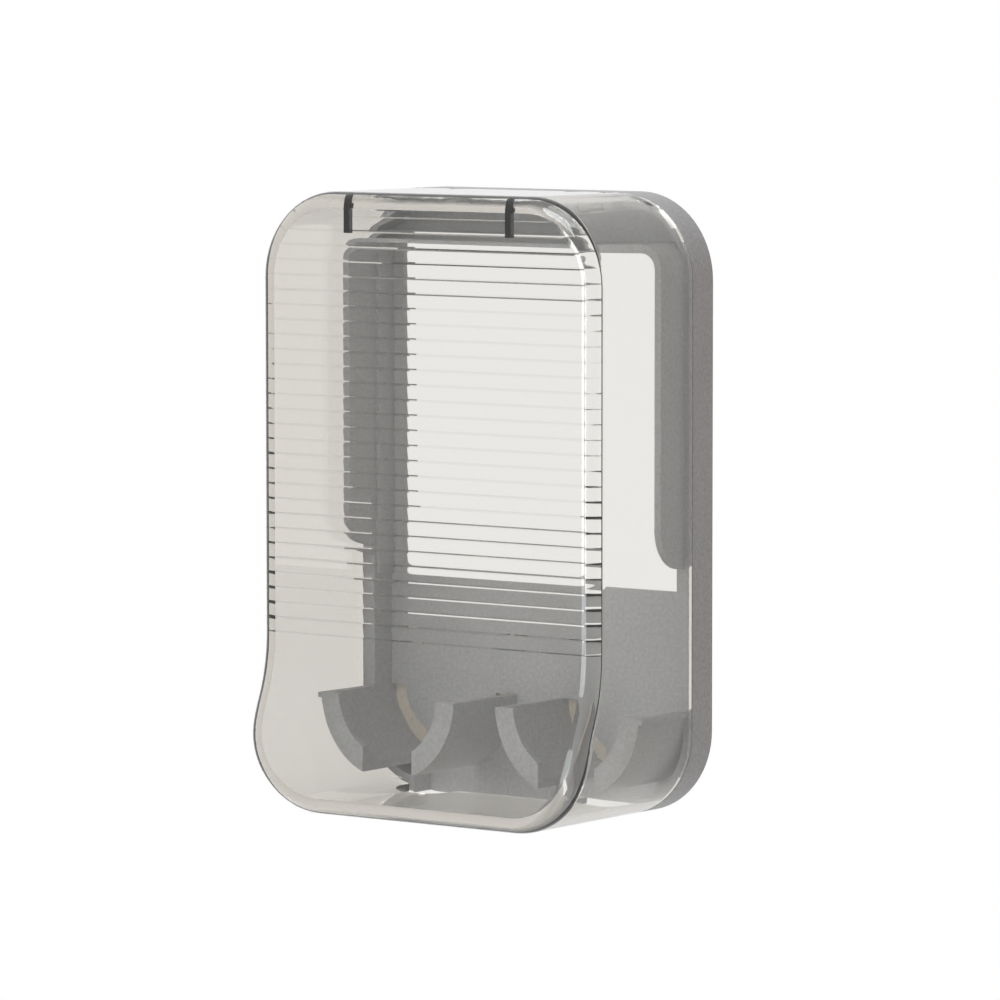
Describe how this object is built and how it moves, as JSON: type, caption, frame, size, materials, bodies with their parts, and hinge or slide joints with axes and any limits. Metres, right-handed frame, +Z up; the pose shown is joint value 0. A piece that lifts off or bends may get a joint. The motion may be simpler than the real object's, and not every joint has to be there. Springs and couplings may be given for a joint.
{
  "type": "outlet splash cover",
  "caption": "Wall-mounted splash cover for a square outlet: grey frame with hood and plug cradles, and a fluted clear lid hinged at the top.",
  "frame": {"origin": "middle of the cover's back face, on the wall plane", "axes": "+Z up along the cover's height, +Y into the wall, +X to the right as seen from the room"},
  "size_m": [0.107, 0.0595, 0.16],
  "materials": {
    "grey_shell": "fine matte moulded grey",
    "adhesive_foam": "cream foam sheet, adhesive on both sides",
    "smoke_clear": "polished clear plastic with a light smoke tint",
    "dark_rubber": "black rubber",
    "pin_steel": "drawn steel wire"
  },
  "bodies": {
    "frame": {"base_frame": "grey_shell", "wall_tape": "adhesive_foam", "hinge_pin_left": "pin_steel", "hinge_pin_right": "pin_steel"},
    "lid": {"clear_lid": "smoke_clear", "bumper_left": "dark_rubber", "bumper_right": "dark_rubber"}
  },
  "joints": [
    {"name": "lid_hinge", "type": "hinge", "parent": "frame", "child": "lid", "pos_m": [0, -0.0128, 0.0776], "axis": [-1, 0, 0], "range_deg": [0, 95]}
  ]
}
